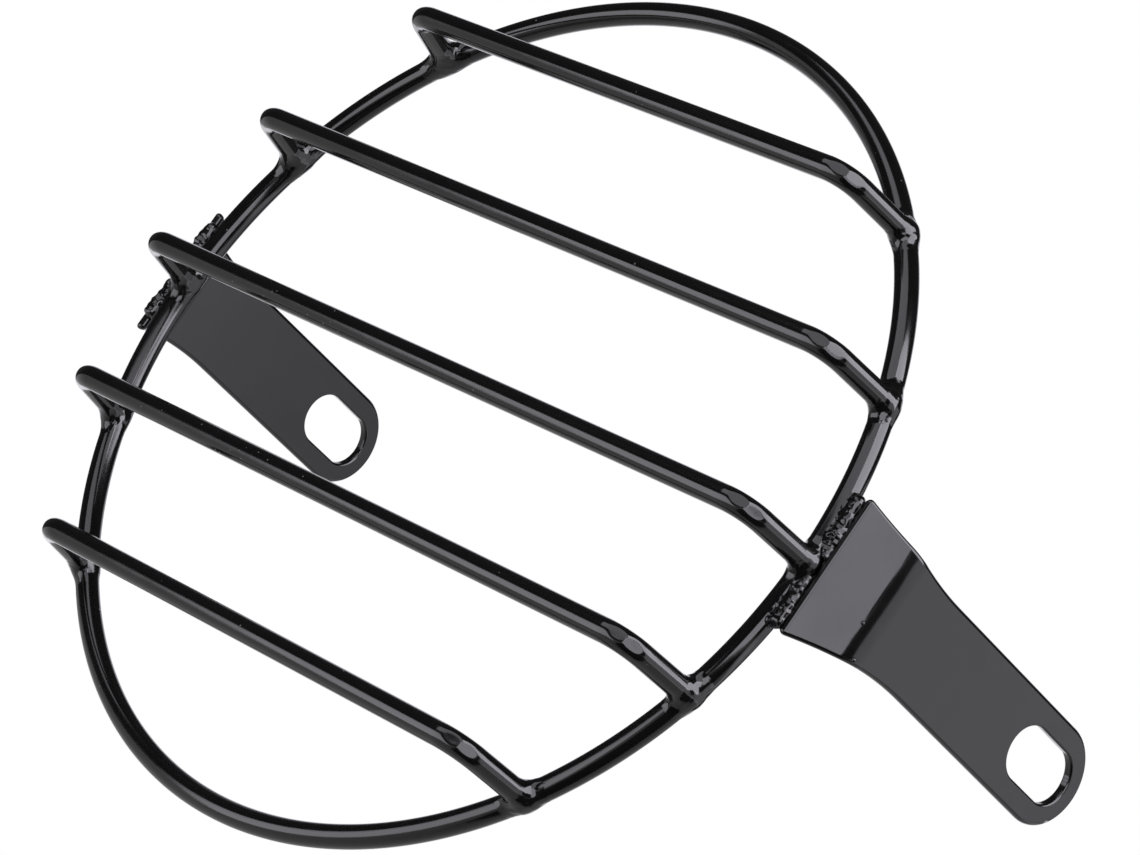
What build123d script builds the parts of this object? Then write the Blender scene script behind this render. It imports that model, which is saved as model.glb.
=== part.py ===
from build123d import *
from math import asin, atan2, cos, degrees, radians, sin, sqrt
import os

# Round steel bar that the ring and the guard bars are made of
rod_diameter = 5.0
ring_diameter = 197.0  # over the outside of the hoop

# Guard bars, bent back at both ends; they were set by eye before welding, so their heights are not quite even
bar_heights = {"top": 66.9, "upper": 33.65, "middle": -1.1, "lower": -33.85, "bottom": -65.6}
bar_standoff = 19.75  # from the ring's centre line forward to the bars'
bar_bend_radius = 6.5  # on the centre line
bar_shift = 1.4  # how far to the right of the ring's middle the bars sit
bend_inset = 4.4  # from the ring's centre line inwards to a bar's corner
foot_outset = 1.0  # from the ring's centre line outwards to a leg's foot
leg_end_gap = 1.2  # from the ring's plane forward to the centre of a leg's rounded end

# Fillet of weld metal round each leg
weld_reach = 2.2  # along the leg and along the ring
weld_toe = 0.3  # height of the fillet's outer edge above the ring
weld_side = 0.5  # how far the fillet stands out past the ring's flanks
weld_root_gap = 0.6  # from the ring's plane forward to the fillet's lower edge

# Brackets of flat steel
plate_thickness = 2.2
plate_bend_radius = 8.5  # on the middle of the plate
plate_corner_radius = 1.3
bend_setback = 11.2  # from the ring's plane back to the middle of the plate's bend
flange_width = 31.3
arm_width = 21.5
arm_splay = 2.0  # degrees that the arm leans outwards
flare_end = 44.0  # in front of the bolt axis, where the flare has narrowed to the arm
bolt_span = 218.9  # between the arms' inner faces on the bolt axis
bolt_setback = 72.1  # from the ring's plane back to the bolt axis
slot_length = 20.8
slot_width = 11.6
slot_edge = 14.5  # from the slot's centre to the arm's tip

# Beads of weld that join each bracket to the ring, above and below the middle bar
bead_radius = 1.8
bead_lift = 0.9  # from the middle of the flange's front edge forward to the bead's centre
bead_start = 4.4  # height of a bead's inner end above the middle bar
bead_end_margin = 2.6  # from a bead's outer end to the flange's corner

# Places worked out from the sizes above; the origin is halfway between the two bolt slots
rod_radius = rod_diameter / 2
ring_radius = ring_diameter / 2 - rod_radius
ring_y = -bolt_setback
sides = {"right": 1, "left": -1}

arm_along = Vector(sin(radians(arm_splay)), cos(radians(arm_splay)), 0)
arm_out = Vector(cos(radians(arm_splay)), -sin(radians(arm_splay)), 0)
slot_centre = Vector(bolt_span / 2 + plate_thickness / 2, 0, 0)
arm_tip = slot_centre + arm_along * slot_edge
plate_bend = slot_centre - arm_along * ((bolt_setback - bend_setback) / arm_along.Y)

# The flange leans so that its inner face is in line with the side of the ring's bar, and ends at the ring's plane
bend_from_bar = plate_bend - Vector(ring_radius, ring_y, 0)
bar_to_flange = rod_radius + plate_thickness / 2
flange_lean = atan2(bend_from_bar.X, bend_from_bar.Y) - asin(bar_to_flange / bend_from_bar.length)
flange_along = Vector(sin(flange_lean), cos(flange_lean), 0)
flange_out = Vector(cos(flange_lean), -sin(flange_lean), 0)
flange_corner = Vector(ring_radius + rod_radius / cos(flange_lean), ring_y, 0)
flange_front = flange_corner + flange_out * (plate_thickness / 2)
tip_centre = arm_tip.Y - arm_width / 2

# The flare is an arc that leaves the arm's edge, reaches the flange's width and runs on past its front
flare_run = -flare_end - flange_front.Y
flare_rise = (flange_width - arm_width) / 2
flare_radius = (flare_run**2 + flare_rise**2) / (2 * flare_rise)
flare_start = flange_front.Y - plate_thickness
flare_start_half = arm_width / 2 + flare_radius - sqrt(flare_radius**2 - (flare_end + flare_start) ** 2)


def ring_point(height, side):
    """The point on the ring's centre line at this height, right or left."""
    return Vector(side * sqrt(ring_radius**2 - height**2), ring_y, height)


def leg_line(height, side):
    """Where a leg's centre line meets the ring's plane, the bar's corner in front of it, and the way between them."""
    seat = ring_point(height, side)
    foot = seat + Vector(side * foot_outset, 0, 0)
    corner = seat + Vector(bar_shift - side * bend_inset, -bar_standoff, 0)
    return foot, corner, (corner - foot).normalized()


def save(piece, name):
    piece.part.label = name
    export_step(piece.part, f"parts/{name}.step")


os.makedirs("parts", exist_ok=True)

# Ring: one hoop of round bar
with BuildPart() as ring:
    with BuildSketch(Plane.XY):
        with Locations((ring_radius, ring_y)):
            Circle(rod_radius)
    revolve(axis=Axis.Y)
save(ring, "ring")

# Brackets: flat steel with one bend, flared where it is welded to the ring, slotted for the bolt
with BuildPart() as bracket_right:
    with BuildSketch(Plane.XY):
        with BuildLine():
            FilletPolyline(
                (flange_front.X, flange_front.Y),
                (plate_bend.X, plate_bend.Y),
                (arm_tip.X, arm_tip.Y),
                radius=plate_bend_radius,
            )
        trace(line_width=plate_thickness)
    extrude(amount=flange_width, both=True)
    with BuildSketch(Plane.YZ):
        with BuildLine():
            Line((tip_centre, arm_width / 2), (-flare_end, arm_width / 2))
            flare = TangentArc((-flare_end, arm_width / 2), (flare_start, flare_start_half), tangent=(-1, 0))
            Polyline(flare @ 1, (flare_start, 0), (arm_tip.Y, 0))
            CenterArc((tip_centre, 0), arm_width / 2, 0, 90)
        make_face()
        mirror(about=Plane.XZ)
    extrude(amount=bolt_span, mode=Mode.INTERSECT)
    front_edges = faces().sort_by(Axis((0, 0, 0), flange_along))[0].edges().sort_by(Axis.Z)
    fillet([front_edges[0], front_edges[-1]], plate_corner_radius)
    with BuildSketch(Plane(origin=slot_centre, x_dir=arm_along, z_dir=arm_out)):
        SlotOverall(slot_length, slot_width)
    extrude(amount=plate_thickness, both=True, mode=Mode.SUBTRACT)
save(bracket_right, "bracket_right")

with BuildPart() as bracket_left:
    mirror(bracket_right.part, about=Plane.YZ)
save(bracket_left, "bracket_left")
brackets = {"right": bracket_right, "left": bracket_left}

# Guard bars: straight across the front, bent back at both ends, and coped to sit on the ring
bars = {}
for name, height in bar_heights.items():
    ends = []
    corners = []
    for side in sides.values():
        foot, corner, forward = leg_line(height, side)
        ends.append(foot - forward * (leg_end_gap / forward.Y))
        corners.append(corner)
    with BuildPart() as bar:
        with BuildLine(Plane.XY.offset(height)) as route:
            turns = (ends[0], corners[0], corners[1], ends[1])
            FilletPolyline(*((turn.X, turn.Y) for turn in turns), radius=bar_bend_radius)
        with BuildSketch(Plane(origin=route.line @ 0, z_dir=route.line % 0)):
            Circle(rod_radius)
        sweep(path=route.line)
        with Locations(*ends):
            Sphere(rod_radius)
        add(ring.part, mode=Mode.SUBTRACT)
        add(bracket_right.part, mode=Mode.SUBTRACT)
        add(bracket_left.part, mode=Mode.SUBTRACT)
    save(bar, f"bar_{name}")
    bars[name] = bar

# Bar welds: a fillet round each leg, on the ring
toe = rod_radius + weld_reach
toe_height = rod_radius + weld_toe
weld_height = toe_height + weld_reach
welds = {}
for name, height in bar_heights.items():
    for side_name, side in sides.items():
        foot, _, forward = leg_line(height, side)
        seat = ring_point(height, side)
        outwards = Vector(seat.X, 0, seat.Z)
        with BuildPart() as weld:
            with BuildSketch(Plane(origin=foot, x_dir=(0, 0, 1), z_dir=Vector(0, 0, 1).cross(forward))):
                with BuildLine():
                    Polyline(
                        (toe, toe_height),
                        (toe, weld_root_gap),
                        (0, weld_root_gap),
                        (0, weld_height),
                        (rod_radius, weld_height),
                    )
                    CenterArc((toe, weld_height), weld_reach, 180, 90)
                make_face()
            revolve(axis=Axis(foot, forward))
            with BuildSketch(Plane(origin=seat, x_dir=outwards, z_dir=(0, -1, 0))):
                Rectangle(2 * (rod_radius + weld_side), 4 * toe)
            extrude(amount=2 * weld_height, mode=Mode.INTERSECT)
            add(bars[name].part, mode=Mode.SUBTRACT)
            add(ring.part, mode=Mode.SUBTRACT)
            add(brackets[side_name].part, mode=Mode.SUBTRACT)
        save(weld, f"weld_{name}_{side_name}")
        welds[name, side_name] = weld

# Bracket welds: a bead in the groove between the ring and the flange's front edge
groove = flange_front - flange_along * bead_lift
bead_last = degrees(asin((flange_width / 2 - bead_end_margin) / groove.X))
for side_name, side in sides.items():
    for level_name, level in (("upper", 1), ("lower", -1)):
        bead_first = degrees(asin((bead_start + level * bar_heights["middle"]) / groove.X))
        groove_plane = Plane(origin=(0, groove.Y, 0), x_dir=(side, 0, 0), z_dir=(0, -side * level, 0))
        with BuildPart() as bead:
            with BuildLine(groove_plane) as bead_route:
                CenterArc((0, 0), groove.X, bead_first, bead_last - bead_first)
            with BuildSketch(Plane(origin=bead_route.line @ 0, z_dir=bead_route.line % 0)):
                Circle(bead_radius)
            sweep(path=bead_route.line)
            with Locations(bead_route.line @ 0, bead_route.line @ 1):
                Sphere(bead_radius)
            add(ring.part, mode=Mode.SUBTRACT)
            add(brackets[side_name].part, mode=Mode.SUBTRACT)
            add(bars["middle"].part, mode=Mode.SUBTRACT)
            add(welds["middle", side_name].part, mode=Mode.SUBTRACT)
        save(bead, f"weld_bracket_{side_name}_{level_name}")
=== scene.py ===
from math import asin, atan2, cos, pi, radians, sin, sqrt, tan

import bmesh
import bpy
from mathutils import Matrix, Vector
from mathutils.noise import noise as unevenness


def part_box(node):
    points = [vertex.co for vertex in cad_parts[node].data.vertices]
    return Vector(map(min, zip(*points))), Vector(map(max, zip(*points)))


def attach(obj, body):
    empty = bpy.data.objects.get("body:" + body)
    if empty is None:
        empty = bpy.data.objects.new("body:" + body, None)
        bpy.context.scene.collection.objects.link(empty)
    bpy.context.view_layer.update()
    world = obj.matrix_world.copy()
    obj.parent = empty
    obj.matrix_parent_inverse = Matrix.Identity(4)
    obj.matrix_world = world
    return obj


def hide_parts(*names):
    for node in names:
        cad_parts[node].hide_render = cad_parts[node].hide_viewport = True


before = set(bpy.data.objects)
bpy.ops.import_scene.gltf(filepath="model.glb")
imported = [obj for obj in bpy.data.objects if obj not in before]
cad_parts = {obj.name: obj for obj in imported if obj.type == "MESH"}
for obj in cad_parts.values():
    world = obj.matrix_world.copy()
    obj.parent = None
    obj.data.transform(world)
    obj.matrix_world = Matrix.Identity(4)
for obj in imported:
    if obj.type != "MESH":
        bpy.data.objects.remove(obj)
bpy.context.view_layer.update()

# Ring: one hoop of 5 mm round steel bar, rolled to a circle, its ends butt-welded and ground flush.
# Every other piece is welded to it, and the whole guard is then painted gloss black.
ring_low, ring_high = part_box("ring")
rod_radius = (ring_high.y - ring_low.y) / 2
ring_radius = (ring_high.x - ring_low.x) / 2 - rod_radius
ring_y = (ring_low.y + ring_high.y) / 2
ring_steps = 960
ring_sides = 40
ring_seed = 3.0
rod_wave_height = 0.000012
rod_wave_length = 0.022
flat_unevenness = 0.4  # share of a flat's depth
seal_distance = 1e-6

paint_colour = (0.0040, 0.0040, 0.0042, 1)
paint_ior = 1.5
gloss_spread = 0.03  # of the roughness, either way
gloss_cloud_scale = 90.0  # clouds in a metre
dust_colour = (0.20, 0.20, 0.20, 1)
dust_scale = 800.0  # places for a grain in a metre
dust_core = 0.08  # in shares of the space between two places
dust_edge = 0.16
dust_height = 3.0  # in heights of the orange peel
dusty_reach = 0.015
dusty_end = 0.030
stray_dust = 0.04  # share of the grains beyond the dusty end
bare_steel = (0.55, 0.55, 0.56, 1)
chip_edge_scale = 1500.0  # ragged bits in a metre
rod_dusty_spot = Vector((-0.042, -0.092, -0.0175))


def add_node(tree, kind, inputs=None, **settings):
    """Adds a node with these settings; an input is a socket to link or a value to set."""
    made = tree.nodes.new(kind)
    for key, value in settings.items():
        setattr(made, key, value)
    for key, value in (inputs or {}).items():
        if isinstance(value, bpy.types.NodeSocket):
            tree.links.new(value, made.inputs[key])
        else:
            made.inputs[key].default_value = value
    return made


def calc(tree, operation, *values):
    """One step of arithmetic on numbers."""
    return add_node(tree, "ShaderNodeMath", dict(enumerate(values)), operation=operation).outputs[0]


def vector_calc(tree, operation, *values):
    """One step of arithmetic on vectors; SCALE takes its number second."""
    keys = (0, "Scale") if operation == "SCALE" else range(len(values))
    made = add_node(tree, "ShaderNodeVectorMath", dict(zip(keys, values)), operation=operation)
    return made.outputs["Value" if operation in ("LENGTH", "DISTANCE", "DOT_PRODUCT") else "Vector"]


def new_tree(name, sockets):
    """An empty tree of geometry nodes with these named inputs; returns it and its input node's outputs."""
    tree = bpy.data.node_groups.new(name, "GeometryNodeTree")
    for socket, kind in sockets.items():
        tree.interface.new_socket(socket, in_out="INPUT", socket_type=f"NodeSocket{kind}")
    tree.interface.new_socket("Piece", in_out="OUTPUT", socket_type="NodeSocketGeometry")
    return tree, tree.nodes.new("NodeGroupInput").outputs


def close_tree(tree, geometry, paint):
    """Ends a tree: everything smooth, real and painted."""
    smooth = add_node(tree, "GeometryNodeSetShadeSmooth", {"Geometry": geometry})
    real = add_node(tree, "GeometryNodeRealizeInstances", {"Geometry": smooth.outputs[0]})
    painted = add_node(tree, "GeometryNodeSetMaterial", {"Geometry": real.outputs[0], "Material": paint})
    tree.links.new(painted.outputs[0], tree.nodes.new("NodeGroupOutput").inputs["Piece"])


def noise(tree, spot, length, seed):
    """The outputs of a noise node that changes over this length."""
    scaled = vector_calc(tree, "SCALE", spot, calc(tree, "DIVIDE", 1.0, length))
    return add_node(tree, "ShaderNodeTexNoise", {"Vector": scaled, "W": seed, "Scale": 1.0, "Detail": 1.0},
                    noise_dimensions="4D").outputs


def grow(name, mesh, tree, values):
    """Runs a tree on a mesh with these named inputs and keeps the result as a plain mesh."""
    piece = bpy.data.objects.new(name, mesh)
    bpy.context.scene.collection.objects.link(piece)
    modifier = piece.modifiers.new(tree.name, "NODES")
    modifier.node_group = tree
    for item in tree.interface.items_tree:
        if item.item_type == "SOCKET" and item.in_out == "INPUT" and item.name in values:
            modifier[item.identifier] = values[item.name]
    evaluated = piece.evaluated_get(bpy.context.evaluated_depsgraph_get())
    result = bpy.data.meshes.new_from_object(evaluated)
    piece.modifiers.remove(modifier)
    piece.data = result
    result.name = name
    return piece


def stand_for(piece, node):
    """The piece stands for this CAD node: it joins the root body, and the node's own mesh is hidden."""
    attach(piece, "root")
    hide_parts(node)


def gloss_paint(name, roughness, peel_height, peel_length, dust,
                dusty=Vector(), chip=Vector(), chip_radius=0.0):
    """Gloss black paint with orange peel and uneven gloss, grains of dust round one spot, and one chip."""
    paint = bpy.data.materials.new(name)
    paint.use_nodes = True
    tree = paint.node_tree
    shader = tree.nodes["Principled BSDF"]
    where = tree.nodes.new("ShaderNodeTexCoord").outputs["Object"]
    shader.inputs["IOR"].default_value = paint_ior
    cloud = add_node(tree, "ShaderNodeTexNoise", {"Vector": where, "Scale": gloss_cloud_scale, "Detail": 3.0})
    gloss = add_node(tree, "ShaderNodeMapRange", {
        "Value": cloud.outputs[0], "From Min": 0.3, "From Max": 0.7,
        "To Min": roughness - gloss_spread, "To Max": roughness + gloss_spread})
    tree.links.new(gloss.outputs[0], shader.inputs["Roughness"])
    grains = add_node(tree, "ShaderNodeTexVoronoi", {"Vector": where, "Scale": dust_scale})
    grain = add_node(tree, "ShaderNodeMapRange", {
        "Value": grains.outputs["Distance"], "From Min": dust_core, "From Max": dust_edge,
        "To Min": 1.0, "To Max": 0.0})
    draw = add_node(tree, "ShaderNodeSeparateColor", {"Color": grains.outputs["Color"]})
    dust_here = add_node(tree, "ShaderNodeMapRange", {
        "Value": vector_calc(tree, "DISTANCE", where, dusty), "From Min": dusty_reach, "From Max": dusty_end,
        "To Min": dust, "To Max": stray_dust * dust})
    shown = calc(tree, "LESS_THAN", draw.outputs[0], dust_here.outputs[0])
    shown = calc(tree, "MULTIPLY", grain.outputs[0], shown)
    tone = add_node(tree, "ShaderNodeMix", {
        "Factor": shown, "A": paint_colour, "B": dust_colour}, data_type="RGBA")
    ragged = add_node(tree, "ShaderNodeTexNoise", {"Vector": where, "Scale": chip_edge_scale})
    chip_edge = calc(tree, "MULTIPLY", ragged.outputs[0], 2 * chip_radius)
    bare = calc(tree, "LESS_THAN", vector_calc(tree, "DISTANCE", where, chip), chip_edge)
    chipped = add_node(tree, "ShaderNodeMix", {
        "Factor": bare, "A": tone.outputs["Result"], "B": bare_steel}, data_type="RGBA")
    tree.links.new(chipped.outputs["Result"], shader.inputs["Base Color"])
    peel = add_node(tree, "ShaderNodeTexNoise", {"Vector": where, "Scale": 1.0 / peel_length, "Detail": 1.0})
    rough = calc(tree, "MULTIPLY_ADD", shown, dust_height, peel.outputs[0])
    bump = add_node(tree, "ShaderNodeBump", {"Height": rough, "Distance": peel_height})
    tree.links.new(bump.outputs[0], shader.inputs["Normal"])
    return paint


rod_paint = gloss_paint(
    "rod_paint", roughness=0.13, peel_height=0.000012, peel_length=0.004, dust=0.5, dusty=rod_dusty_spot)

rod_tree, given = new_tree("painted_rod", {
    "Path": "Geometry", "Sides": "Int", "Wave Height": "Float", "Wave Length": "Float",
    "Flat Depth": "Float", "Flat Wave Length": "Float", "Flat Round": "Float",
    "Seat Radius": "Float", "Seat Y": "Float", "Seat Bar Radius": "Float",
    "Seed": "Float", "Paint": "Material",
})
kinds = {"bar_radius": "FLOAT", "flat": "FLOAT", "middle": "FLOAT_VECTOR", "outward": "FLOAT_VECTOR"}
named = {}
for key, kind in kinds.items():
    read = add_node(rod_tree, "GeometryNodeInputNamedAttribute", {"Name": key}, data_type=kind)
    named[key] = read.outputs[0]
path = add_node(rod_tree, "GeometryNodeMeshToCurve", {"Mesh": given["Path"]})
profile = add_node(rod_tree, "GeometryNodeCurvePrimitiveCircle", {
    "Resolution": given["Sides"], "Radius": 1.0})
tube = add_node(rod_tree, "GeometryNodeCurveToMesh", {
    "Curve": path.outputs[0], "Profile Curve": profile.outputs[0], "Scale": named["bar_radius"]})
sealed = add_node(rod_tree, "GeometryNodeMergeByDistance", {
    "Geometry": tube.outputs[0], "Distance": seal_distance})
smooth = add_node(rod_tree, "GeometryNodeSetShadeSmooth", {"Geometry": sealed.outputs[0]})
here = rod_tree.nodes.new("GeometryNodeInputPosition").outputs[0]
normal = rod_tree.nodes.new("GeometryNodeInputNormal").outputs["Normal"]

wave = noise(rod_tree, here, given["Wave Length"], given["Seed"])[0]
wave = calc(rod_tree, "MULTIPLY", wave, given["Wave Height"])
inwards = vector_calc(rod_tree, "SCALE", normal, calc(rod_tree, "MULTIPLY", wave, -1.0))
uneven = add_node(rod_tree, "GeometryNodeSetPosition", {"Geometry": smooth.outputs[0], "Offset": inwards})

from_middle = vector_calc(rod_tree, "SUBTRACT", here, named["middle"])
stand = vector_calc(rod_tree, "DOT_PRODUCT", from_middle, named["outward"])
depth = noise(rod_tree, here, given["Flat Wave Length"], given["Seed"])[0]
depth = calc(rod_tree, "MULTIPLY_ADD", depth, flat_unevenness, 1 - flat_unevenness / 2)
depth = calc(rod_tree, "MULTIPLY", calc(rod_tree, "MULTIPLY", depth, given["Flat Depth"]), named["flat"])
limit = calc(rod_tree, "SUBTRACT", named["bar_radius"], depth)
cut = calc(rod_tree, "SUBTRACT", calc(rod_tree, "SMOOTH_MIN", stand, limit, given["Flat Round"]), stand)
flattened = add_node(rod_tree, "GeometryNodeSetPosition", {
    "Geometry": uneven.outputs[0], "Offset": vector_calc(rod_tree, "SCALE", named["outward"], cut)})

in_plane = vector_calc(rod_tree, "MULTIPLY", here, (1.0, 0.0, 1.0))
on_ring = vector_calc(rod_tree, "SCALE", vector_calc(rod_tree, "NORMALIZE", in_plane), given["Seat Radius"])
seat_y = add_node(rod_tree, "ShaderNodeCombineXYZ", {"Y": given["Seat Y"]})
seat = vector_calc(rod_tree, "ADD", on_ring, seat_y.outputs[0])
from_seat = vector_calc(rod_tree, "SUBTRACT", here, seat)
pushed = vector_calc(rod_tree, "NORMALIZE", from_seat)
pushed = vector_calc(rod_tree, "SCALE", pushed, given["Seat Bar Radius"])
inside = calc(rod_tree, "LESS_THAN", vector_calc(rod_tree, "LENGTH", from_seat), given["Seat Bar Radius"])
coped = add_node(rod_tree, "GeometryNodeSetPosition", {
    "Geometry": flattened.outputs[0], "Selection": inside,
    "Position": vector_calc(rod_tree, "ADD", seat, pushed)})
close_tree(rod_tree, coped.outputs[0], given["Paint"])


def path_mesh(name, points, radii, flats, middles, outwards, closed=False):
    """A line of points with the bar's radius, and the share, middle and outer side of the nearest flat."""
    count = len(points)
    edges = [(i, (i + 1) % count) for i in range(count if closed else count - 1)]
    mesh = bpy.data.meshes.new(name)
    mesh.from_pydata(points, edges, [])
    for key, values in (("bar_radius", radii), ("flat", flats)):
        mesh.attributes.new(key, "FLOAT", "POINT").data.foreach_set("value", values)
    for key, vectors in (("middle", middles), ("outward", outwards)):
        values = [part for vector in vectors for part in vector]
        mesh.attributes.new(key, "FLOAT_VECTOR", "POINT").data.foreach_set("vector", values)
    return mesh


hoop = []
for i in range(ring_steps):
    turn = 2 * pi * i / ring_steps
    hoop.append(Vector((ring_radius * cos(turn), ring_y, ring_radius * sin(turn))))
hoop_radii = [rod_radius] * ring_steps
no_flats = [0.0] * ring_steps
no_ways = [Vector()] * ring_steps
hoop_mesh = path_mesh("hoop", hoop, hoop_radii, no_flats, hoop, no_ways, closed=True)
ring = grow("hoop", hoop_mesh, rod_tree, {
    "Sides": ring_sides, "Wave Height": rod_wave_height, "Wave Length": rod_wave_length,
    "Flat Depth": 0.0, "Flat Wave Length": 1.0, "Flat Round": 0.0,
    "Seat Radius": ring_radius, "Seat Y": ring_y, "Seat Bar Radius": 0.0,
    "Seed": ring_seed, "Paint": rod_paint,
})
stand_for(ring, "ring")

# Guard bars: five lengths of the same round bar, straight across the front and bent back at both ends.
# The bender leaves shallow flats at the bends, deeper on the right, where the bars turn more sharply.
# Each leg is shaped to sit on the ring before it is welded.
bar_names = ("top", "upper", "middle", "lower", "bottom")
bar_shift = 0.0014
bend_inset = 0.0044
foot_outset = 0.0010
bar_bend_radius = 0.0065
leg_end_gap = 0.0012
bar_step = 0.0005
bar_sides = 56
bar_seed = 10.0
bar_seed_step = 7
bend_steps = 36
end_steps = 9
flat_depth = 0.00030
flat_wave_length = 0.0036
flat_round = 0.00016
flat_share = {"right": 1.0, "left": 0.3}
flat_places = ((23, 0.10), (12, 0.07))  # step of the bend from the leg on, and the flat's lean upwards


def round_corner(before, corner, after, radius, steps):
    """Points of the arc that rounds off this corner."""
    back = (before - corner).normalized()
    ahead = (after - corner).normalized()
    half_turn = back.angle(ahead) / 2
    centre = corner + (back + ahead).normalized() * (radius / sin(half_turn))
    first = (corner + back * (radius / tan(half_turn)) - centre).normalized()
    last = (corner + ahead * (radius / tan(half_turn)) - centre).normalized()
    return [centre + first.slerp(last, i / steps) * radius for i in range(steps + 1)]


def straight(start, stop, step):
    """Points after the start and before the stop, about this far apart."""
    count = max(1, round((stop - start).length / step))
    return [start.lerp(stop, i / count) for i in range(1, count)]


def round_end(end, forward):
    """Points of a leg's rounded end from its tip inwards, and the bar's radius at each."""
    turns = [pi / 2 * i / end_steps for i in range(end_steps)]
    points = [end - forward * (rod_radius * cos(turn)) for turn in turns]
    return points, [rod_radius * sin(turn) for turn in turns]


legs = {}
for number, name in enumerate(bar_names):
    low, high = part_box(f"bar_{name}")
    height = (low.z + high.z) / 2
    bar_y = low.y + rod_radius
    reach = sqrt(ring_radius**2 - height**2)
    ends = []
    corners = []
    for side_name, side in (("right", 1), ("left", -1)):
        foot = Vector((side * (reach + foot_outset), ring_y, height))
        corner = Vector((side * (reach - bend_inset) + bar_shift, bar_y, height))
        forward = (corner - foot).normalized()
        end = foot - forward * (leg_end_gap / forward.y)
        legs[name, side_name] = (end, forward)
        ends.append(end)
        corners.append(corner)
    right_arc = round_corner(ends[0], corners[0], corners[1], bar_bend_radius, bend_steps)
    left_arc = round_corner(corners[0], corners[1], ends[1], bar_bend_radius, bend_steps)
    first_points, first_radii = round_end(*legs[name, "right"])
    last_points, last_radii = round_end(*legs[name, "left"])
    body = [ends[0]] + straight(ends[0], right_arc[0], bar_step) + right_arc
    body += straight(right_arc[-1], left_arc[0], bar_step) + left_arc
    body += straight(left_arc[-1], ends[1], bar_step) + [ends[1]]
    points = first_points + body + last_points[::-1]
    radii = first_radii + [rod_radius] * len(body) + last_radii[::-1]
    flats = []
    for step, flat_lean in flat_places:
        for arc, i in ((right_arc, step), (left_arc, bend_steps - step)):
            heading = (arc[i + 1] - arc[i - 1]).normalized()
            flats.append((arc[i], Vector((-heading.y, heading.x, flat_lean)).normalized()))
    nearest = [min(flats, key=lambda flat: (flat[0] - point).length) for point in points]
    shares = [flat_share["right" if point.x > 0 else "left"] for point in points]
    middles = [flat_middle for flat_middle, _ in nearest]
    outwards = [flat_way for _, flat_way in nearest]
    bar_mesh = path_mesh(name, points, radii, shares, middles, outwards)
    bar = grow(f"guard_bar_{name}", bar_mesh, rod_tree, {
        "Sides": bar_sides, "Wave Height": rod_wave_height, "Wave Length": rod_wave_length,
        "Flat Depth": flat_depth, "Flat Wave Length": flat_wave_length, "Flat Round": flat_round,
        "Seat Radius": ring_radius, "Seat Y": ring_y, "Seat Bar Radius": rod_radius,
        "Seed": bar_seed + bar_seed_step * number, "Paint": rod_paint,
    })
    stand_for(bar, f"bar_{name}")

# Brackets: straps of 2.2 mm sheet steel with one bend, flared at the front and slotted near the round tip.
# They are stamped and folded, so their edges are slightly rounded and the bend is a little wavy.
# The right one has a chip in its paint at the tip and two grains of weld spatter near the bend.
plate_thickness = 0.0022
plate_bend_radius = 0.0085
plate_edge_round = 0.00095
plate_edge_segments = 5
slot_edge_share = 0.6
plate_corner_radius = 0.0013
bend_setback = 0.0112
bolt_span = 0.2189
arm_lean = radians(2.0)
arm_width = 0.0215
flange_width = 0.0313
flare_end = -0.044
slot_length = 0.0208
slot_width = 0.0116
slot_edge = 0.0145
tip_inset = 0.00004
plate_step = 0.001
plate_bend_steps = 20
across_steps = 24
corner_steps = 9
arc_steps = 28
fold_wave_height = 0.000035
fold_wave_length = 0.0032
flat_face_weight = 100
tip_chip = Vector((0.11180, 0.01115, -0.0074))
tip_chip_radius = 0.0007
spatter = (
    (Vector((0.10797, -0.06338, -0.0047)), 0.00045),
    (Vector((0.10912, -0.06093, -0.0113)), 0.0006),
)
spatter_subdivisions = 3

slot_centre = Vector((bolt_span / 2 + plate_thickness / 2, 0, 0))
plate_paint = gloss_paint(
    "plate_paint", roughness=0.15, peel_height=0.000006, peel_length=0.006, dust=0.002, dusty=slot_centre,
    chip=tip_chip, chip_radius=tip_chip_radius)
arm_along = Vector((sin(arm_lean), cos(arm_lean), 0))
arm_tip = slot_centre + arm_along * (slot_edge - tip_inset)
plate_bend = slot_centre + arm_along * ((ring_y + bend_setback) / arm_along.y)
flange_corner = Vector((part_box("bracket_right")[0].x, ring_y, 0))
corner_to_bend = plate_bend - flange_corner
flange_lean = atan2(corner_to_bend.x, corner_to_bend.y) - asin(plate_thickness / 2 / corner_to_bend.length)
flange_out = Vector((cos(flange_lean), -sin(flange_lean), 0))
flange_front = flange_corner + flange_out * (plate_thickness / 2)
flange_along = (plate_bend - flange_front).normalized()
tip_centre_y = arm_tip.y - arm_width / 2
flare_run = flare_end - flange_front.y
flare_rise = (flange_width - arm_width) / 2
flare_radius = (flare_run**2 + flare_rise**2) / (2 * flare_rise)


def half_width(y, from_front):
    """Half the strap's width at this y, this far along the flange from its front edge."""
    half = arm_width / 2
    if y < flare_end:
        half += flare_radius - sqrt(flare_radius**2 - (flare_end - y) ** 2)
    if y > tip_centre_y:
        half = sqrt(max(0.0, half**2 - (y - tip_centre_y) ** 2))
    if from_front < plate_corner_radius:
        half -= plate_corner_radius - sqrt(plate_corner_radius**2 - (plate_corner_radius - from_front) ** 2)
    return half


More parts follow.
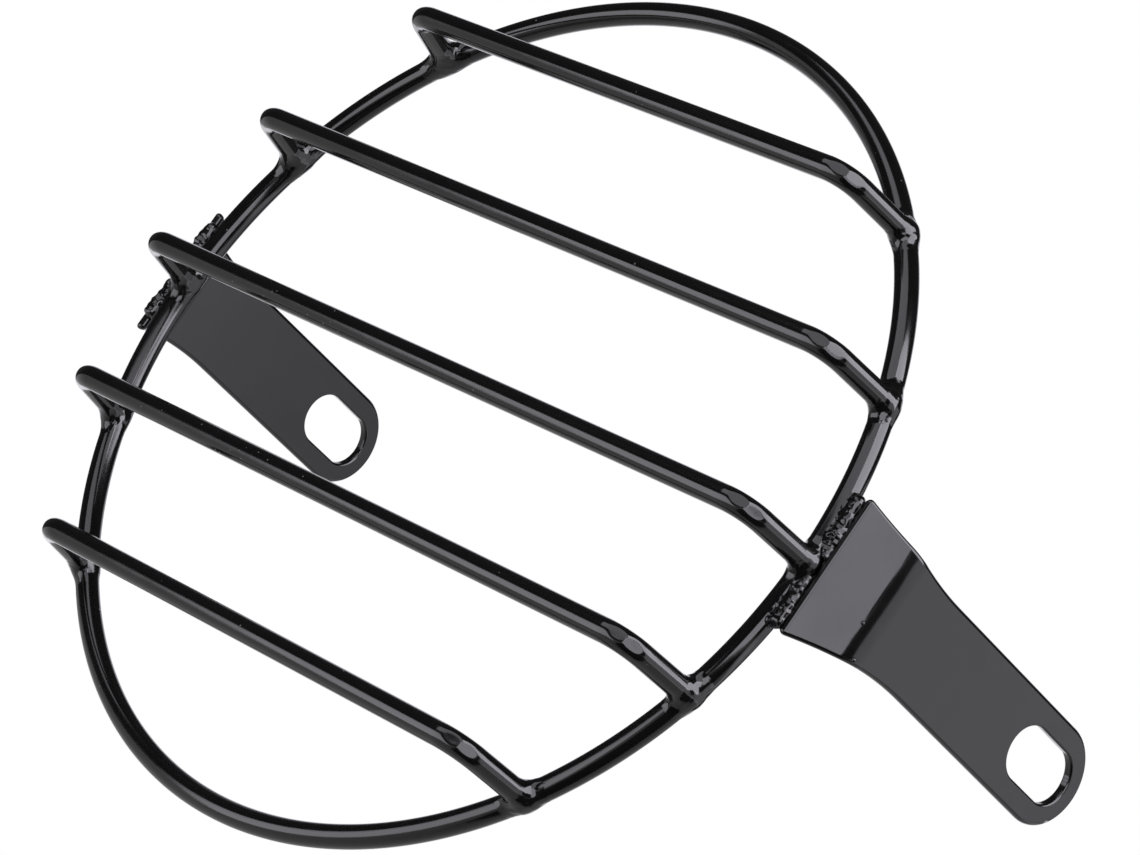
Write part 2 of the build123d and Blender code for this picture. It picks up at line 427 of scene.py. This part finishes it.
fold = round_corner(flange_front, plate_bend, arm_tip, plate_bend_radius, plate_bend_steps)
strap = []
for i in range(corner_steps):
    turn = pi / 2 * i / corner_steps
    strap.append(flange_front + flange_along * (plate_corner_radius * (1 - cos(turn))))
strap.append(flange_front + flange_along * plate_corner_radius)
strap += straight(strap[-1], fold[0], plate_step)
fold_start = len(strap)
strap += fold
fold_stop = len(strap) - 1
flare_stop = fold[-1] + arm_along * ((flare_end - fold[-1].y) / arm_along.y)
strap += straight(fold[-1], flare_stop, plate_step) + [flare_stop]
for i in range(arc_steps + 1):
    y = tip_centre_y + arm_width / 2 * sin(pi / 2 * i / arc_steps)
    strap.append(fold[-1] + arm_along * ((y - fold[-1].y) / arm_along.y))
outwards = []
for i in range(len(strap)):
    share = min(1.0, max(0.0, (i - fold_start) / plate_bend_steps))
    lean = flange_lean + (arm_lean - flange_lean) * share
    outwards.append(Vector((cos(lean), -sin(lean), 0)))

for side_name, side in (("right", 1), ("left", -1)):
    shape = bmesh.new()
    rims = []
    for face in (1, -1):
        rows = []
        for i, (point, out) in enumerate(zip(strap, outwards)):
            at = point + out * (face * plate_thickness / 2)
            if i > fold_stop:
                at = point + Vector((face * plate_thickness / 2 / cos(arm_lean), 0, 0))
            half = half_width(at.y, (point - flange_front).length)
            row = []
            heights = [half, -half] if i < len(strap) - 1 else [0.0]
            if fold_start <= i <= fold_stop:
                heights = [half * (1 - 2 * j / across_steps) for j in range(across_steps + 1)]
            for level in heights:
                spot = Vector((at.x, at.y, level))
                if fold_start < i < fold_stop:
                    wave = unevenness(spot / fold_wave_length + Vector((side, 0, 0)))
                    spot += out * (fold_wave_height * wave)
                row.append(shape.verts.new((side * spot.x, spot.y, spot.z)))
            rows.append(row)
        slot = []
        for i in range(2 * arc_steps):
            turn = -pi + pi * i / arc_steps
            middle = (slot_length - slot_width) / 2 * (1 if abs(turn) < pi / 2 else -1)
            spot = slot_centre + arm_along * (middle + slot_width / 2 * cos(turn))
            spot += outwards[-1] * (face * plate_thickness / 2)
            slot.append(shape.verts.new((side * spot.x, spot.y, slot_width / 2 * sin(turn))))
        flange_upper = [row[0] for row in rows[:fold_start]]
        flange_lower = [row[-1] for row in rows[fold_start - 1::-1]]
        shape.faces.new(flange_upper + rows[fold_start] + flange_lower)
        for i in range(fold_start, fold_stop):
            for j in range(across_steps):
                shape.faces.new((rows[i][j], rows[i][j + 1], rows[i + 1][j + 1], rows[i + 1][j]))
        centre = across_steps // 2
        arm_upper = [row[0] for row in rows[fold_stop + 1:]]
        arm_lower = [row[-1] for row in rows[fold_stop + 1:]]
        shape.faces.new(rows[fold_stop][centre::-1] + arm_upper + slot[arc_steps:] + [slot[0]])
        shape.faces.new(rows[fold_stop][centre:] + arm_lower + slot[arc_steps::-1])
        rims.append(([row[0] for row in rows] + [row[-1] for row in rows[-2::-1]], slot))
    rounding = shape.edges.layers.float.new("bevel_weight_edge")
    for near, off, edge_share in zip(*rims, (1.0, slot_edge_share)):
        for i in range(len(near)):
            after = (i + 1) % len(near)
            shape.faces.new((near[i], near[after], off[after], off[i]))
            for loop in (near, off):
                shape.edges.get((loop[i], loop[after]))[rounding] = edge_share
    bmesh.ops.recalc_face_normals(shape, faces=shape.faces)
    if side_name == "right":
        for spot, radius in spatter:
            bmesh.ops.create_icosphere(
                shape, subdivisions=spatter_subdivisions, radius=radius, matrix=Matrix.Translation(spot))
    mesh = bpy.data.meshes.new(f"bracket_strap_{side_name}")
    shape.to_mesh(mesh)
    shape.free()
    mesh.shade_smooth()
    mesh.materials.append(plate_paint)
    strap_piece = bpy.data.objects.new(f"bracket_strap_{side_name}", mesh)
    bpy.context.scene.collection.objects.link(strap_piece)
    rounded = strap_piece.modifiers.new("edges", "BEVEL")
    rounded.width = plate_edge_round
    rounded.segments = plate_edge_segments
    rounded.limit_method = "WEIGHT"
    rounded.use_clamp_overlap = False
    weighted = strap_piece.modifiers.new("normals", "WEIGHTED_NORMAL")
    weighted.weight = flat_face_weight
    depsgraph = bpy.context.evaluated_depsgraph_get()
    finished = bpy.data.meshes.new_from_object(strap_piece.evaluated_get(depsgraph))
    strap_piece.modifiers.clear()
    strap_piece.data = finished
    stand_for(strap_piece, f"bracket_{side_name}")

# Bar welds: weld metal run round each leg on the ring, thin at its edges and lumpy in the corner.
# Paint covers it, so it flows into the bars without a seam.
weld_blend = {"right": 0.0044, "left": 0.0058}
weld_lump_height = {"right": 0.00013, "left": 0.00012}
weld_lump_length = 0.0030
weld_crest_round = 0.08
weld_crest_gain = 3.0
weld_crest_level = 0.8
weld_sink = 0.00006
weld_region = 0.0074
weld_voxel = 0.00016
weld_skin_voxels = 6.0
weld_skin_level = 0.5
weld_seed = 2.0
weld_seed_step = 3
leg_length = 0.012
cube_margin = 1.08

weld_paint = gloss_paint("weld_paint", roughness=0.11, peel_height=0.00002, peel_length=0.0011, dust=0.002)
weld_tree, given = new_tree("weld_metal", {
    "Base": "Geometry", "Core End": "Vector", "Core Way": "Vector", "Core Length": "Float",
    "Core Radius": "Float", "Core Growth": "Float", "Wander": "Float", "Wander Length": "Float",
    "Ripple": "Float", "Ripple Length": "Float", "Ring Radius": "Float", "Ring Y": "Float",
    "Ring Bar Radius": "Float", "Blend": "Float", "Lump Height": "Float", "Lump Length": "Float",
    "Lump Reach": "Float", "Ring Share": "Float", "Sink": "Float", "Centre": "Vector", "Region": "Float",
    "Edge": "Float", "Voxel": "Float", "Seed": "Float", "Paint": "Material",
})
here = weld_tree.nodes.new("GeometryNodeInputPosition").outputs[0]
spot_y = add_node(weld_tree, "ShaderNodeSeparateXYZ", {0: here}).outputs["Y"]
in_plane = vector_calc(weld_tree, "LENGTH", vector_calc(weld_tree, "MULTIPLY", here, (1.0, 0.0, 1.0)))
across = add_node(weld_tree, "ShaderNodeCombineXYZ", {
    "X": calc(weld_tree, "SUBTRACT", in_plane, given["Ring Radius"]),
    "Y": calc(weld_tree, "SUBTRACT", spot_y, given["Ring Y"])})
to_ring = vector_calc(weld_tree, "LENGTH", across.outputs[0])
to_ring = calc(weld_tree, "SUBTRACT", to_ring, given["Ring Bar Radius"])

drift = noise(weld_tree, here, given["Wander Length"], given["Seed"])[1]
drift = vector_calc(weld_tree, "SUBTRACT", drift, (0.5, 0.5, 0.5))
strayed = vector_calc(weld_tree, "ADD", here, vector_calc(weld_tree, "SCALE", drift, given["Wander"]))
from_end = vector_calc(weld_tree, "SUBTRACT", strayed, given["Core End"])
along = vector_calc(weld_tree, "DOT_PRODUCT", from_end, given["Core Way"])
along = calc(weld_tree, "MINIMUM", calc(weld_tree, "MAXIMUM", along, 0.0), given["Core Length"])
on_core = vector_calc(weld_tree, "SCALE", given["Core Way"], along)
beside = vector_calc(weld_tree, "SUBTRACT", from_end, on_core)
grown = calc(weld_tree, "DIVIDE", along, given["Core Length"])
grown = calc(weld_tree, "MULTIPLY", grown, given["Core Growth"])
core_radius = calc(weld_tree, "ADD", given["Core Radius"], grown)
to_core = calc(weld_tree, "SUBTRACT", vector_calc(weld_tree, "LENGTH", beside), core_radius)
turns = calc(weld_tree, "DIVIDE", calc(weld_tree, "MULTIPLY", along, 2 * pi), given["Ripple Length"])
to_core = calc(weld_tree, "MULTIPLY_ADD", calc(weld_tree, "SINE", turns), given["Ripple"], to_core)
joined = calc(weld_tree, "SMOOTH_MIN", to_ring, to_core, given["Blend"])

from_corner = calc(weld_tree, "MULTIPLY", to_ring, given["Ring Share"])
from_corner = calc(weld_tree, "MAXIMUM", from_corner, to_core)
near = add_node(weld_tree, "ShaderNodeMapRange", {
    "Value": from_corner, "From Min": 0.0, "From Max": given["Lump Reach"], "To Min": 1.0, "To Max": 0.0})
crests = noise(weld_tree, here, given["Lump Length"], given["Seed"])[0]
crests = calc(weld_tree, "MULTIPLY_ADD", crests, 2.0, -1.0)
crests = calc(weld_tree, "SQRT", calc(weld_tree, "MULTIPLY_ADD", crests, crests, weld_crest_round**2))
lumps = calc(weld_tree, "MULTIPLY_ADD", crests, weld_crest_gain, -weld_crest_level)
lumps = calc(weld_tree, "MULTIPLY", lumps, calc(weld_tree, "MULTIPLY", near.outputs[0], given["Lump Height"]))
metal = calc(weld_tree, "ADD", calc(weld_tree, "ADD", joined, lumps), given["Sink"])

ball = vector_calc(weld_tree, "DISTANCE", here, given["Centre"])
ball = calc(weld_tree, "SUBTRACT", ball, given["Region"])
bounded = calc(weld_tree, "MAXIMUM", metal, ball)
band = calc(weld_tree, "MULTIPLY", given["Voxel"], weld_skin_voxels)
density = calc(weld_tree, "SUBTRACT", weld_skin_level, calc(weld_tree, "DIVIDE", bounded, band))
margin = add_node(weld_tree, "ShaderNodeCombineXYZ", {key: given["Edge"] for key in "XYZ"}).outputs[0]
cells = calc(weld_tree, "DIVIDE", calc(weld_tree, "MULTIPLY", given["Edge"], 2.0), given["Voxel"])
block = add_node(weld_tree, "GeometryNodeVolumeCube", {
    "Density": density, "Background": 0.0,
    "Min": vector_calc(weld_tree, "SUBTRACT", given["Centre"], margin),
    "Max": vector_calc(weld_tree, "ADD", given["Centre"], margin),
    "Resolution X": cells, "Resolution Y": cells, "Resolution Z": cells})
skin = add_node(weld_tree, "GeometryNodeVolumeToMesh", {
    "Volume": block.outputs[0], "Threshold": weld_skin_level})
close_tree(weld_tree, skin.outputs[0], given["Paint"])

for number, ((name, side_name), (end, forward)) in enumerate(legs.items()):
    seat = Vector((end.x, 0, end.z)).normalized() * ring_radius + Vector((0, ring_y, 0))
    weld = grow(f"bar_weld_{name}_{side_name}", bpy.data.meshes.new("weld"), weld_tree, {
        "Core End": end, "Core Way": forward, "Core Length": leg_length, "Core Radius": rod_radius,
        "Core Growth": 0.0, "Wander": 0.0, "Wander Length": 1.0, "Ripple": 0.0, "Ripple Length": 1.0,
        "Ring Radius": ring_radius, "Ring Y": ring_y, "Ring Bar Radius": rod_radius,
        "Blend": weld_blend[side_name], "Lump Height": weld_lump_height[side_name],
        "Lump Length": weld_lump_length, "Lump Reach": weld_blend[side_name], "Ring Share": 1.0,
        "Sink": weld_sink, "Centre": (end + seat + forward * rod_radius) / 2,
        "Region": weld_region, "Edge": weld_region * cube_margin, "Voxel": weld_voxel,
        "Seed": weld_seed + weld_seed_step * number, "Paint": weld_paint,
    })
    stand_for(weld, f"weld_{name}_{side_name}")

# Bracket welds: a rough hand-laid bead along each flange's front edge, above and below the middle bar.
# It wanders, its ripples show, and it laps onto the ring's outer half and onto the plate.
bead_radius = {"right": 0.0011, "left": 0.0013}
bead_growth = {"right": 0.0006, "left": 0.0002}
bead_outward = {"right": 0.0004, "left": 0.0010}
bead_forward = {"right": 0.0006, "left": 0.0009}
bead_start = 0.0026
bead_end_margin = {"right": 0.0022, "left": 0.0046}
bead_wander = 0.0013
bead_wander_length = 0.0030
bead_ripple = 0.00005
bead_ripple_length = 0.0016
bead_lump_height = 0.00016
bead_lump_length = 0.0020
bead_blend = 0.0014
bead_seed = 40.0


def groove_point(side_name, side, height):
    """The middle of the groove at this height, halfway from the ring's curve to the flange's edge."""
    groove = flange_corner + flange_out * bead_outward[side_name] - flange_along * bead_forward[side_name]
    return Vector((side * (groove.x + sqrt(groove.x**2 - height**2)) / 2, groove.y, height))


middle_low, middle_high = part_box("bar_middle")
middle_height = (middle_low.z + middle_high.z) / 2
bead_number = 0
for side_name, side in (("right", 1), ("left", -1)):
    for level_name, level in (("upper", 1), ("lower", -1)):
        inner = middle_height + level * bead_start
        outer = level * (flange_width / 2 - bead_end_margin[side_name])
        start = groove_point(side_name, side, inner)
        stop = groove_point(side_name, side, outer)
        length = (stop - start).length
        region = length / 2 + bead_radius[side_name] + bead_growth[side_name] + bead_wander
        bead = grow(f"bracket_weld_{side_name}_{level_name}", bpy.data.meshes.new("bead"), weld_tree, {
            "Core End": start, "Core Way": (stop - start).normalized(), "Core Length": length,
            "Core Radius": bead_radius[side_name], "Core Growth": bead_growth[side_name],
            "Wander": bead_wander, "Wander Length": bead_wander_length,
            "Ripple": bead_ripple, "Ripple Length": bead_ripple_length,
            "Ring Radius": ring_radius, "Ring Y": ring_y, "Ring Bar Radius": rod_radius,
            "Blend": bead_blend, "Lump Height": bead_lump_height, "Lump Length": bead_lump_length,
            "Lump Reach": bead_blend, "Ring Share": 0.0, "Sink": weld_sink,
            "Centre": (start + stop) / 2, "Region": region, "Edge": region * cube_margin, "Voxel": weld_voxel,
            "Seed": bead_seed + weld_seed_step * bead_number, "Paint": weld_paint,
        })
        stand_for(bead, f"weld_bracket_{side_name}_{level_name}")
        bead_number += 1

# Floor: a plain pale studio floor, one matt sheet laid flat.
# It lies well below the guard, which is held by its bolts and stands on nothing.
floor_z = -0.75
floor_half = 5.0
floor_colour = (0.82, 0.82, 0.83, 1)
floor_roughness = 0.9


def matt_sheet(name, corners, colour, roughness):
    """A flat sheet with these four corners, in one matt colour."""
    mesh = bpy.data.meshes.new(name)
    mesh.from_pydata(corners, [], [(0, 1, 2, 3)])
    material = bpy.data.materials.new(name)
    material.use_nodes = True
    shader = material.node_tree.nodes["Principled BSDF"]
    shader.inputs["Base Color"].default_value = colour
    shader.inputs["Roughness"].default_value = roughness
    mesh.materials.append(material)
    sheet = bpy.data.objects.new(name, mesh)
    bpy.context.scene.collection.objects.link(sheet)
    return sheet


floor_corners = [(x * floor_half, y * floor_half, floor_z) for x, y in ((-1, -1), (1, -1), (1, 1), (-1, 1))]
floor = matt_sheet("floor", floor_corners, floor_colour, floor_roughness)

# Light: soft boxes in front, on the right and behind, which show in the paint, in a dim room.
# The room's own light falls on the floor, and a black flag low on the right keeps that side dark.
light_aim = Vector((0, -0.045, 0))
light_colour = (1.0, 0.98, 1.07)
flag_z = -0.40
flag_plan = ((0.11, -0.25), (1.07, -2.05), (2.20, 0.55), (0.22, 0.02))
flag_colour = (0.01, 0.01, 0.01, 1)
room_light = (0.80, 0.80, 0.80, 1)
room_in_gloss = (0.05, 0.05, 0.052, 1)
backdrop_white = (1.0, 1.0, 1.0, 1)


def soft_box(name, across, upward, distance, radiance):
    """A rectangular light between these angles in degrees, seen from the guard; 0 is in front, 90 right."""
    turn = radians(sum(across) / 2)
    rise = radians(sum(upward) / 2)
    way = Vector((sin(turn) * cos(rise), -cos(turn) * cos(rise), sin(rise)))
    data = bpy.data.lights.new(name, "AREA")
    data.shape = "RECTANGLE"
    data.size = 2 * distance * tan(radians(across[1] - across[0]) / 2)
    data.size_y = 2 * distance * tan(radians(upward[1] - upward[0]) / 2)
    data.energy = radiance * pi * data.size * data.size_y
    data.color = light_colour
    light = bpy.data.objects.new(name, data)
    light.location = light_aim + way * distance
    light.rotation_mode = "QUATERNION"
    light.rotation_quaternion = way.to_track_quat("Z", "Y")
    light.visible_camera = False
    light.visible_diffuse = False
    bpy.context.scene.collection.objects.link(light)


soft_box("front_low", across=(-46.0, 10), upward=(-42, -4), distance=0.8, radiance=2.5)
soft_box("front_high", across=(-34, 40), upward=(15, 52), distance=1.2, radiance=1.8)
soft_box("right_front", across=(30, 71.4), upward=(-10, 17), distance=1.2, radiance=3.85)
soft_box("right_high", across=(50, 116), upward=(20, 58), distance=1.2, radiance=6.2)
soft_box("back_right", across=(96.5, 137.6), upward=(-14, 24), distance=1.3, radiance=1.27)
soft_box("back", across=(137.6, 166), upward=(-14, 24), distance=1.3, radiance=0.80)
soft_box("back_left", across=(-170, -115), upward=(-15, 40), distance=2.0, radiance=1.0)

flag = matt_sheet("flag", [(x, y, flag_z) for x, y in flag_plan], flag_colour, 1.0)
flag.visible_camera = False
flag.visible_shadow = False

world = bpy.data.worlds.new("studio")
bpy.context.scene.world = world
world.use_nodes = True
world_tree = world.node_tree
world_tree.nodes.clear()
rays = world_tree.nodes.new("ShaderNodeLightPath").outputs
room = add_node(world_tree, "ShaderNodeMix", {
    "Factor": rays["Is Glossy Ray"], "A": room_light, "B": room_in_gloss}, data_type="RGBA")
shade = add_node(world_tree, "ShaderNodeMix", {
    "Factor": rays["Is Camera Ray"], "A": room.outputs["Result"], "B": backdrop_white}, data_type="RGBA")
backdrop = add_node(world_tree, "ShaderNodeBackground", {"Color": shade.outputs["Result"]})
world_tree.links.new(backdrop.outputs[0], world_tree.nodes.new("ShaderNodeOutputWorld").inputs[0])

# Camera: a long lens to the right of the guard and below its middle, with everything in focus.
# It is rolled, so that the guard appears tipped to the left.
camera_eye = Vector((0.69122, -0.73997, -0.17268))
camera_right = Vector((0.6553, 0.5065, 0.5604))
camera_up = Vector((-0.2964, -0.5099, 0.8075))
camera_data = bpy.data.cameras.new("camera")
camera_data.lens = 153.45
camera_data.sensor_width = 36.0
camera_data.clip_start = 0.05
camera = bpy.data.objects.new("camera", camera_data)
bpy.context.scene.collection.objects.link(camera)
camera_right.normalize()
camera_up = (camera_up - camera_right * camera_up.dot(camera_right)).normalized()
turned = Matrix((camera_right, camera_up, camera_right.cross(camera_up))).transposed()
camera.matrix_world = Matrix.Translation(camera_eye) @ turned.to_4x4()
bpy.context.scene.camera = camera
bpy.context.scene.view_settings.view_transform = "Standard"
